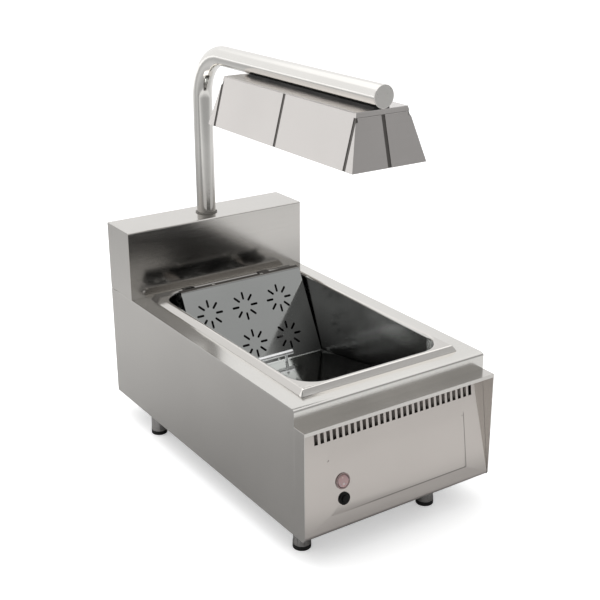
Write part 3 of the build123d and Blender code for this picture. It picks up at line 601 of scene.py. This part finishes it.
class BuildConsole(bpy.types.Operator):
    """Finishes the console's frame and the leaning control panel"""

    bl_idname = "chip_warmer.console"
    bl_label = "Console"

    def execute(self, context):
        colours, sizes = context.scene.warmer_colours, context.scene.warmer_sizes
        # Satin stainless frame with softened edges.
        frame_steel = brushed("satin_console_steel", colours.cabinet, 0.2, (14.0, 900.0, 900.0))
        dressed_node("console_frame", frame_steel, edge=sizes.edge_round)
        # Control panel: its grain runs from side to side, and its colour is darker than the cabinet steel as
        # painted shade.
        panel_steel = brushed("satin_panel_steel", colours.panel, 0.14, (14.0, 900.0, 900.0))
        # Painted shade line along the pressed field's lower and right edges.
        self.field_outline(panel_steel.node_tree, colours.field_shade_line)
        dressed_node("control_panel", panel_steel, angle=24.0)
        # Plain sheet seen through the vents; its darker tone is painted shade.
        self.vent_baffle(brushed("plain_baffle_steel", colours.baffle, 0.5, (14.0, 300.0, 300.0)))
        return {"FINISHED"}

    def vent_baffle(self, sheet):
        """Long shallow channel behind the vents, its two lips against the panel's inner face."""
        bpy.ops.mesh.primitive_plane_add(size=1.0)
        baffle = bpy.context.object
        baffle.scale = (BAFFLE_LENGTH, BAFFLE_WIDTH, 1.0)
        settle(baffle)
        for edge in (-1, 1):
            pick_edges(baffle, lambda a, b: min(edge * a.y, edge * b.y) > 0.49 * BAFFLE_WIDTH)
            step = (0.0, edge * BAFFLE_SPLAY, BAFFLE_DEPTH)
            bpy.ops.mesh.extrude_region_move(TRANSFORM_OT_translate={"value": step})
            leave_edit()
        only(baffle)
        wall = baffle.modifiers.new("wall", "SOLIDIFY")
        wall.thickness = BAFFLE_WALL
        wall.offset = -1.0
        bpy.ops.object.modifier_apply(modifier=wall.name)
        place(baffle, PANEL @ Matrix.Translation(BAFFLE_PLACE))
        own(baffle, "vent_baffle", sheet, "cabinet")

    def field_outline(self, tree, colour):
        """Painted shade: a thin dark line along the pressed field's lower and right edges, faint at its lower
        left.
        """
        axes = object_axes(tree)
        across, up = axes["X"], axes["Z"]
        above_low = ramp(tree, up, 0.0, 1.0, FIELD_LOW_Z - 0.001, FIELD_LOW_Z)
        under_vents = ramp(tree, up, 1.0, 0.0, FIELD_TOP_Z, FIELD_TOP_Z + 0.006)
        right = times(tree, self.band(tree, across, FIELD_RIGHT), above_low, under_vents)
        in_width = ramp(tree, across, 1.0, 0.0, FIELD_RIGHT, FIELD_RIGHT + 0.001)
        fade = ramp(tree, across, 0.0, 1.0, *LINE_FADE_X)
        low = times(tree, self.band(tree, up, FIELD_LOW_Z), in_width, fade)
        recolour(tree, ramp(tree, highest(tree, right, low), 0.0, 0.6, 0.0, 1.0), colour)

    def band(self, tree, value, centre):
        """One at the centre, nothing beyond the line's half width."""
        return ramp(tree, distance(tree, value, centre), 1.0, 0.0, *LINE_HALF_WIDTH)


class BuildSwitches(bpy.types.Operator):
    """Finishes the power switch and the reset button, with the rocker's moulded marks"""

    bl_idname = "chip_warmer.switches"
    bl_label = "Switches"

    def execute(self, context):
        colours = context.scene.warmer_colours
        # Smoke-tinted bezel.
        dressed_node("switch_housing", moulded("smoke_bezel_plastic", colours.bezel, 0.28, bump=0.02))
        # Washed red lens of the rocker.
        dressed_node("power_rocker", rocker_lens("washed_red_lens", colours.lens))
        # Black nylon collar and button.
        nylon = moulded("black_nylon_moulding", colours.nylon, 0.42, gloss=0.2)
        for name in ("reset_collar", "reset_button"):
            dressed_node(name, nylon)
        # Off-white moulded marks.
        ink = moulded("moulded_mark_white", colours.mark, 0.4, bump=0.02)
        rocker = (PANEL @ Matrix.Translation((CONTROL_X, SWITCH_RISE, FIELD_LIFT))
                  @ Matrix.Rotation(-ROCKER_TILT, 4, "X"))
        self.bar_mark(rocker, ink)
        self.ring_mark(rocker, ink)
        return {"FINISHED"}

    def on_face(self, rocker, reach, half):
        """A place on the rocker's upper or lower face."""
        height = ROCKER_CREST - reach * sin(ROCKER_TILT)
        lean = Matrix.Rotation(-half * ROCKER_TILT, 4, "X")
        return rocker @ Matrix.Translation((0.0, half * reach, height)) @ lean

    def bar_mark(self, rocker, ink):
        """Upright bar with rounded ends, for on."""
        bpy.ops.mesh.primitive_cylinder_add(vertices=24, radius=BAR_RADIUS, depth=0.0003)
        bar = bpy.context.object
        pick_faces(bar, lambda centre, normal: centre.y > 0.0001)
        bpy.ops.transform.translate(value=(0.0, BAR_UP, 0.0))
        bpy.ops.mesh.select_all(action="INVERT")
        bpy.ops.transform.translate(value=(0.0, -BAR_DOWN, 0.0))
        leave_edit()
        pick_faces(bar, lambda centre, normal: normal.z > 0.9)
        bpy.ops.mesh.inset(thickness=0.0001)
        bpy.ops.transform.translate(value=(0.0, 0.0, 0.00005))
        leave_edit()
        place(bar, self.on_face(rocker, MARK_REACH, 1))
        own(bar, "rocker_mark_on", ink, "rocker")

    def ring_mark(self, rocker, ink):
        """Flat ring, for off."""
        bpy.ops.mesh.primitive_torus_add(major_segments=40, minor_segments=10, major_radius=RING_RADIUS,
                                         minor_radius=RING_WIRE)
        ring = bpy.context.object
        only(ring)
        bpy.ops.object.mode_set(mode="EDIT")
        bpy.ops.mesh.select_all(action="SELECT")
        bpy.ops.transform.resize(value=(1.0, 1.0, 0.45))
        leave_edit()
        bpy.ops.object.shade_smooth()
        place(ring, self.on_face(rocker, MARK_REACH, -1))
        own(ring, "rocker_mark_off", ink, "rocker")


class BuildPan(bpy.types.Operator):
    """Finishes the pan, the drain plate and its lift handle"""

    bl_idname = "chip_warmer.pan"
    bl_label = "Pan and Drain Plate"

    def execute(self, context):
        colours, sizes = context.scene.warmer_colours, context.scene.warmer_sizes
        # Bright rim; the inside's dark tone is painted dark reflection.
        finish = pan_steel("drawn_pan_steel", colours.pan_rim, colours.pan_inside_painted_dark, *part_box("gn_pan"))
        pan = dressed_node("gn_pan", finish)
        self.roll_rim(pan, sizes.rim_slope, sizes.rim_flare)
        self.slit_corners(pan)
        # Mirror-polished drain plate.
        plate = brushed("mirror_plate_steel", colours.plate, 0.09, (14.0, 600.0, 600.0), bump=0.01)
        # Painted dark reflection on the lower part and painted shade on the hem.
        self.paint_plate_shade(plate.node_tree, colours.plate_low_reflection, colours.plate_hem_shade)
        dressed_node("drain_plate", plate)
        # Darker rivets at the hem.
        rivets = brushed("rivet_steel", colours.rivet, 0.3, (300.0, 300.0, 300.0))
        for side in ("left", "right"):
            dressed_node(f"hook_rivet_{side}", rivets, angle=60.0)
        # Chrome grip.
        chrome = brushed("bright_chrome", colours.chrome, 0.36, (40.0, 40.0, 40.0), bump=0.0)
        dressed_node("lift_handle", chrome, angle=40.0)
        return {"FINISHED"}

    def paint_plate_shade(self, tree, low, hem):
        """Painted dark reflection on the lower part in front of the handle, and painted shade on the hem and
        straps behind.
        """
        hem_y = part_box("hook_rivet_left")[0].y - 0.003
        handle_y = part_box("lift_handle")[0].y
        along = object_axes(tree)["Y"]
        recolour(tree, ramp(tree, along, 0.0, 1.0, handle_y - 0.04, handle_y - 0.16), low)
        recolour(tree, ramp(tree, along, 0.0, 1.0, hem_y, hem_y + 0.002), hem)

    def roll_rim(self, pan, slope, flare):
        """Turns the flange's outer edge over and slopes it down to the worktop."""
        low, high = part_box("gn_pan")
        centre_y = (low.y + high.y) / 2
        half_x, half_y = high.x - slope, high.y - centre_y - slope
        fall = high.z - DECK_Z - RIM_CLEARANCE

        def on_cut(point):
            return abs(point.x) > half_x - 0.00002 or abs(point.y - centre_y) > half_y - 0.00002

        # The flange's own edge goes, all round.
        only(pan)
        bpy.ops.object.mode_set(mode="EDIT")
        for x, y in ((1, 0), (-1, 0), (0, 1), (0, -1)):
            bpy.ops.mesh.select_all(action="SELECT")
            bpy.ops.mesh.bisect(plane_co=(x * half_x, centre_y + y * half_y, 0.0), plane_no=(x, y, 0.0),
                                clear_outer=True)
        leave_edit()
        # From the top face's new edge: the roll, the slope, and a small return under its foot.
        pick_edges(pan, lambda a, b: on_cut(a) and on_cut(b) and min(a.z, b.z) > high.z - 0.0002)
        out, down = 0.0, 0.0
        for next_out, next_down in (*RIM_CURVE, (slope + flare, fall), (slope + flare - RIM_RETURN, fall)):
            self.grow(half_x + out, half_y + out, next_out - out, next_down - down, centre_y)
            out, down = next_out, next_down
        leave_edit()
        # The return joins the under face's edge.
        pick_open_edges(pan)
        bpy.ops.mesh.bridge_edge_loops()
        bpy.ops.mesh.select_all(action="SELECT")
        bpy.ops.mesh.normals_make_consistent(inside=False)
        leave_edit()
        bpy.ops.object.shade_smooth_by_angle(angle=radians(32))

    def slit_corners(self, pan):
        """Cuts the narrow relief slit at each corner of the folded rim."""
        low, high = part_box("gn_pan")
        for side in (-1, 1):
            for end, y in ((-1, low.y), (1, high.y)):
                bpy.ops.mesh.primitive_cube_add(size=1.0, location=(side * high.x, y, high.z - SLIT_DEPTH),
                                                rotation=(0.0, 0.0, side * end * pi / 4))
                slit = bpy.context.object
                slit.scale = SLIT_SIZE
                settle(slit)
                cut(pan, slit)

    def grow(self, half_x, half_y, out, down, centre_y):
        """Extrudes the selected rectangle of edges outward and down."""
        bpy.ops.mesh.extrude_region_move(TRANSFORM_OT_translate={"value": (0.0, 0.0, -down)})
        bpy.ops.transform.resize(value=(1 + out / half_x, 1 + out / half_y, 1.0),
                                 center_override=(0.0, centre_y, 0.0))


class BuildGantry(bpy.types.Operator):
    """Finishes the bent tube, its end cap and its rubber fittings"""

    bl_idname = "chip_warmer.gantry"
    bl_label = "Gantry"

    def execute(self, context):
        colours = context.scene.warmer_colours
        # Polished tube, with painted shade darkening it at the post's foot.
        tube = brushed("polished_tube_steel", colours.tube, 0.13, (60.0, 60.0, 60.0), bump=0.01)
        foot_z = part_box("riser_cover")[1].z
        low = ramp(tube.node_tree, object_axes(tube.node_tree)["Z"], 1.0, 0.0, foot_z, foot_z + 0.14)
        recolour(tube.node_tree, low, colours.tube_foot)
        dressed_node("gantry_tube", tube, angle=40.0)
        # Satin cap.
        cap = brushed("satin_cap_steel", colours.tube, 0.3, (300.0, 300.0, 300.0))
        dressed_node("tube_end_cap", cap, angle=40.0)
        # Grey grommet and black saddle.
        rubber = moulded("black_rubber_gantry", colours.rubber, 0.65)
        dressed_node("post_grommet", moulded("grey_rubber_grommet", colours.grommet, 0.55), angle=40.0)
        finish_node("hood_saddle", rubber)
        return {"FINISHED"}


class BuildHood(bpy.types.Operator):
    """Finishes the hood's panels, lid and inner skin"""

    bl_idname = "chip_warmer.hood"
    bl_label = "Hood"

    def execute(self, context):
        colours, sizes = context.scene.warmer_colours, context.scene.warmer_sizes
        # Satin panels; the grain runs along the hood.
        panel = brushed("satin_hood_steel", colours.hood, 0.22, (900.0, 14.0, 900.0))
        for end in ("front", "rear"):
            for side in ("left", "right"):
                dressed_node(f"hood_side_{side}_{end}", panel, edge=sizes.edge_round * 0.8)
        # End panels: the grain runs across.
        across = brushed("satin_hood_end_steel", colours.hood, 0.2, (14.0, 900.0, 900.0))
        for end in ("front", "rear"):
            for side in ("left", "right"):
                dressed_node(f"hood_end_{end}_{side}", across, edge=sizes.edge_round * 0.8)
        # The lid's grain runs along, as on the sides.
        dressed_node("hood_top", panel)
        # Dark inner skin, seen in the joints and from below.
        skin = brushed("heat_dulled_skin", colours.hood_skin, 0.45, (60.0, 60.0, 60.0))
        finish_node("hood_inner_skin", skin)
        return {"FINISHED"}


class BuildHeater(bpy.types.Operator):
    """Finishes the reflector, the ceramic emitters, and the rail that carries them"""

    bl_idname = "chip_warmer.heater"
    bl_label = "Heater"

    def execute(self, context):
        colours = context.scene.warmer_colours
        # Bright rolled aluminium.
        bright = brushed("rolled_aluminium", colours.reflector, 0.18, (600.0, 10.0, 600.0))
        dressed_node("reflector", bright)
        # Glazed ceramic.
        glaze = moulded("glazed_ceramic", colours.ceramic, 0.16, grain_size=120.0, bump=0.05)
        for number in (1, 2, 3):
            dressed_node(f"emitter_{number}", glaze, angle=40.0)
        # Zinc-plated rail and bolts.
        zinc = moulded("zinc_plating", colours.zinc, 0.34, grain_size=300.0, metallic=1.0)
        for name in ("emitter_rail", "hood_bolt_front", "hood_bolt_rear"):
            dressed_node(name, zinc, angle=40.0)
        return {"FINISHED"}


class BuildFeet(bpy.types.Operator):
    """Finishes the four feet and adds their knurled adjusting rings"""

    bl_idname = "chip_warmer.feet"
    bl_label = "Feet"

    def execute(self, context):
        colours, sizes = context.scene.warmer_colours, context.scene.warmer_sizes
        # Turned steel sleeves, rubber pads, zinc bushes.
        steel = brushed("turned_foot_steel", colours.foot, 0.34, (60.0, 60.0, 900.0))
        rubber = moulded("black_rubber_pad", colours.rubber, 0.7)
        zinc = moulded("zinc_bush", colours.zinc, 0.36, grain_size=300.0, metallic=1.0)
        ring = self.knurled_ring(sizes.knurl_teeth)
        for name, (x, y) in FEET.items():
            dressed_node(f"foot_{name}", steel, angle=40.0)
            dressed_node(f"foot_pad_{name}", rubber, angle=40.0)
            dressed_node(f"foot_bush_{name}", zinc, angle=40.0)
            made = copy_of(ring, Matrix.Translation((x, y, KNURL_Z)))
            own(made, f"adjusting_ring_{name}", steel, f"{name}_foot")
        remove(ring)
        return {"FINISHED"}

    def knurled_ring(self, teeth):
        """Ring with upright teeth, a touch wider than the sleeve."""
        bpy.ops.mesh.primitive_cylinder_add(vertices=4 * teeth, radius=KNURL_RADIUS, depth=KNURL_HEIGHT)
        ring = bpy.context.object
        step = pi / (2 * teeth)

        def on_tooth(centre, normal):
            return abs(normal.z) < 0.5 and int(atan2(centre.y, centre.x) % (2 * pi) / step) % 4 < 2

        pick_faces(ring, on_tooth)
        bpy.ops.mesh.extrude_region_shrink_fatten(TRANSFORM_OT_shrink_fatten={"value": TOOTH_HEIGHT})
        leave_edit()
        bpy.ops.object.shade_smooth_by_angle(angle=radians(20))
        return ring


class BuildFixings(bpy.types.Operator):
    """Adds the back panel's screws, the dressed plug welds, and finishes the cable fittings"""

    bl_idname = "chip_warmer.fixings"
    bl_label = "Fixings"

    def execute(self, context):
        colours, sizes = context.scene.warmer_colours, context.scene.warmer_sizes
        # Black nylon cable fittings.
        nylon = moulded("black_nylon_fitting", colours.nylon, 0.45)
        for name in ("cable_gland", "gland_locknut", "terminal_block"):
            dressed_node(name, nylon)
        # Stainless screws round the back panel.
        bright = brushed("screw_steel", colours.cabinet, 0.25, (400.0, 400.0, 400.0))
        screw = self.cross_screw(sizes.screw_radius)
        back_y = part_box("back_panel")[1].y
        facing_back = Matrix.Rotation(-pi / 2, 4, "X")
        spots = [(x, z) for x in (-BACK_SCREW_X, BACK_SCREW_X) for z in BACK_SCREW_ROWS]
        spots += [(x, BACK_SCREW_ROWS[-1]) for x in (0.0, -BACK_SCREW_X / 2, BACK_SCREW_X / 2)]
        for number, (x, z) in enumerate(spots, start=1):
            made = copy_of(screw, Matrix.Translation((x, back_y, z)) @ facing_back)
            own(made, f"back_screw_{number:02d}", bright, "cabinet")
        # Two smaller ones at the riser's left foot, one down into the worktop and one in its front.
        facing_front = Matrix.Rotation(pi / 2, 4, "X")
        foot_spots = {"worktop_screw": Matrix.Translation(WORKTOP_SCREW),
                      "riser_screw": Matrix.Translation(RISER_SCREW) @ facing_front}
        for name, spot in foot_spots.items():
            made = copy_of(screw, spot @ Matrix.Scale(SMALL_SCREW, 4))
            own(made, name, bright, "cabinet")
        remove(screw)
        # Dressed plug welds near the front and rear of each side.
        dull = brushed("dressed_weld_steel", shade(colours.cabinet, 0.8), 0.4, (300.0, 300.0, 300.0))
        weld = self.plug_weld(sizes.weld_radius)
        for side, label in ((-1, "left"), (1, "right")):
            turn = Matrix.Rotation(side * pi / 2, 4, "Y")
            for end, y in SIDE_WELDS.items():
                spot = Matrix.Translation((side * (SIDE_X - WELD_SINK), y, SIDE_WELD_Z))
                own(copy_of(weld, spot @ turn), f"plug_weld_{label}_{end}", dull, "cabinet")
        # Dressed welds over the hood's lid.
        lid_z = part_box("hood_top")[1].z
        for number, (x, y) in enumerate(LID_WELDS, start=1):
            made = copy_of(weld, Matrix.Translation((x, y, lid_z - WELD_SINK)))
            own(made, f"plug_weld_lid_{number}", dull, "cabinet")
        remove(weld)
        return {"FINISHED"}

    def cross_screw(self, radius):
        """Pan-head screw with a cross recess, standing on z = 0."""
        bpy.ops.mesh.primitive_cylinder_add(vertices=32, radius=radius, depth=0.5 * radius,
                                            location=(0.0, 0.0, 0.25 * radius))
        screw = bpy.context.object
        settle(screw)
        pick_edges(screw, lambda a, b: min(a.z, b.z) > 0.45 * radius)
        bpy.ops.mesh.bevel(offset=0.3 * radius, segments=4, profile=0.5)
        leave_edit()
        for turn in (0.0, pi / 2):
            bpy.ops.mesh.primitive_cube_add(size=1.0, location=(0.0, 0.0, 0.5 * radius),
                                            rotation=(0.0, 0.0, turn))
            slot = bpy.context.object
            slot.scale = (1.1 * radius, 0.24 * radius, 0.45 * radius)
            settle(slot)
            cut(screw, slot)
        bpy.ops.object.shade_smooth_by_angle(angle=radians(35))
        return screw

    def plug_weld(self, radius):
        """Almost flush round weld with a soft edge, standing on z = 0."""
        bpy.ops.mesh.primitive_cylinder_add(vertices=24, radius=radius, depth=0.0002)
        weld = bpy.context.object
        pick_faces(weld, lambda centre, normal: normal.z > 0.9)
        bpy.ops.mesh.inset(thickness=0.3 * radius)
        bpy.ops.transform.translate(value=(0.0, 0.0, -0.00005))
        leave_edit()
        bpy.ops.object.shade_smooth_by_angle(angle=radians(50))
        return weld


class BuildStudio(bpy.types.Operator):
    """Lays the pale floor, sets the studio's air and lamp, and places the camera"""

    bl_idname = "chip_warmer.studio"
    bl_label = "Studio"

    def execute(self, context):
        bpy.context.scene.view_settings.view_transform = "Standard"
        self.floor()
        self.air()
        self.lamp()
        self.camera()
        return {"FINISHED"}

    def floor(self):
        """Pale floor: white to the camera, and a tone set by place for the light that it throws back."""
        bpy.ops.mesh.primitive_plane_add(size=40.0)
        floor = bpy.context.object
        floor.name = "studio_floor"
        material = bpy.data.materials.new("pale_floor")
        material.use_nodes = True
        tree = material.node_tree
        tree.nodes.clear()
        path = add_node(tree, "ShaderNodeLightPath").outputs
        white = add_node(tree, "ShaderNodeBsdfDiffuse", {"Color": linear("#ffffff")})
        glow = add_node(tree, "ShaderNodeEmission", {"Strength": 0.42})
        seen = add_node(tree, "ShaderNodeAddShader", {0: white.outputs[0], 1: glow.outputs[0]})
        axes = object_axes(tree)
        across, along = axes["X"], axes["Y"]
        # Darker on the left, lighter to the right and behind, and light just in front of the unit.
        tone = plus(tree, ramp(tree, across, 0.40, 0.76, -0.3, 1.2), ramp(tree, along, 0.0, 0.24, 0.0, 0.8))
        tone = highest(tree, tone, ramp(tree, along, 0.0, 0.9, -0.3, -0.6))
        # What each stretch behind or in front adds, and where it starts and ends.
        stretches = ((-0.1, 1.0, 1.8), (0.4, 2.2, 5.0), (-0.24, -0.95, -1.4), (-0.22, -1.5, -2.3))
        for step, start, end in stretches:
            tone = plus(tree, tone, ramp(tree, along, 0.0, step, start, end))
        lit = add_node(tree, "ShaderNodeBsdfDiffuse", {"Color": tone})
        far = times(tree, path["Is Glossy Ray"], ramp(tree, along, 0.0, 1.0, 3.0, 6.0))
        share = highest(tree, path["Is Camera Ray"], path["Is Transmission Ray"], far)
        mixed = add_node(tree, "ShaderNodeMixShader", {0: share, 1: lit.outputs[0], 2: seen.outputs[0]})
        add_node(tree, "ShaderNodeOutputMaterial", {"Surface": mixed.outputs[0]})
        floor.data.materials.append(material)

    def air(self):
        """White background, with a darker room in front of the unit and above it to light it."""
        world = bpy.data.worlds.new("studio_air")
        bpy.context.scene.world = world
        world.use_nodes = True
        tree = world.node_tree
        tree.nodes.clear()
        path = add_node(tree, "ShaderNodeLightPath").outputs
        heading = add_node(tree, "ShaderNodeTexCoord").outputs["Generated"]
        axes = add_node(tree, "ShaderNodeSeparateXYZ", {0: heading}).outputs
        side, along, up = axes["X"], axes["Y"], axes["Z"]
        # The brightest of: the room, lighter behind; a band at the horizon; the ceiling; a glow high behind.
        room = ramp(tree, along, 0.38, 0.95, -0.75, 0.35)
        horizon = ramp(tree, up, 0.0, 0.58, 0.25, 0.05)
        overhead = ramp(tree, up, 0.0, 1.05, 0.435, 0.61)
        soft = times(tree, ramp(tree, up, 0.0, 1.5, 0.36, 0.56), ramp(tree, along, 0.0, 1.0, 0.45, 0.7))
        level = highest(tree, room, horizon, overhead, soft)
        # A dark corner, high on the left in front.
        corner = times(tree, ramp(tree, side, 0.0, 1.0, -0.1, -0.3), ramp(tree, along, 0.0, 1.0, 0.1, -0.15),
                       ramp(tree, up, 0.0, 1.0, 0.46, 0.6))
        level = times(tree, level, ramp(tree, corner, 1.0, 0.1, 0.0, 1.0))
        white = add_node(tree, "ShaderNodeBackground", {"Color": (1, 1, 1, 1), "Strength": 1.0})
        air = add_node(tree, "ShaderNodeBackground", {"Color": (1, 1, 1, 1), "Strength": level})
        behind = times(tree, path["Is Glossy Ray"], ramp(tree, along, 0.0, 1.0, 0.6, 1.0))
        share = highest(tree, path["Is Camera Ray"], path["Is Transmission Ray"], behind)
        mixed = add_node(tree, "ShaderNodeMixShader", {0: share, 1: air.outputs[0], 2: white.outputs[0]})
        add_node(tree, "ShaderNodeOutputWorld", {"Surface": mixed.outputs[0]})

    def lamp(self):
        """One wide soft box, high on the left."""
        data = bpy.data.lights.new("soft_box", "AREA")
        data.shape = "RECTANGLE"
        data.size, data.size_y = LAMP_SIZE
        data.energy = LAMP_POWER
        lamp = bpy.data.objects.new("soft_box", data)
        bpy.context.scene.collection.objects.link(lamp)
        lamp.location = LAMP_PLACE
        lamp.rotation_euler = (0.0, radians(LAMP_TILT), 0.0)

    def camera(self):
        """Long lens, from high on the left in front."""
        data = bpy.data.cameras.new("camera")
        camera = bpy.data.objects.new("camera", data)
        bpy.context.scene.collection.objects.link(camera)
        camera.location = CAMERA_PLACE
        camera.rotation_euler = (radians(90 - CAMERA_DIP), radians(CAMERA_ROLL), radians(-CAMERA_TURN))
        data.lens = CAMERA_LENS
        bpy.context.scene.camera = camera


BUILDERS = (BuildCabinet, BuildConsole, BuildSwitches, BuildPan, BuildGantry, BuildHood, BuildHeater,
            BuildFeet, BuildFixings, BuildStudio)


class WarmerPanel(bpy.types.Panel):
    """Lists the chip warmer's colours, sizes and builders."""

    bl_idname = "VIEW3D_PT_chip_warmer"
    bl_label = "Chip Warmer"
    bl_space_type = "VIEW_3D"
    bl_region_type = "UI"
    bl_category = "Chip Warmer"

    def draw(self, context):
        layout = self.layout
        for group in (context.scene.warmer_colours, context.scene.warmer_sizes):
            box = layout.box()
            for name in group.__annotations__:
                box.prop(group, name)
        for builder in BUILDERS:
            layout.operator(builder.bl_idname)


CLASSES = (WarmerColours, WarmerSizes, *BUILDERS, WarmerPanel)


def register():
    for kind in CLASSES:
        bpy.utils.register_class(kind)
    bpy.types.Scene.warmer_colours = PointerProperty(type=WarmerColours)
    bpy.types.Scene.warmer_sizes = PointerProperty(type=WarmerSizes)


def unregister():
    del bpy.types.Scene.warmer_sizes
    del bpy.types.Scene.warmer_colours
    for kind in reversed(CLASSES):
        bpy.utils.unregister_class(kind)


def main():
    register()
    bpy.ops.object.select_all(action="DESELECT")
    for builder in BUILDERS:
        group, name = builder.bl_idname.split(".")
        getattr(getattr(bpy.ops, group), name)()


if __name__ == "__main__":
    main()
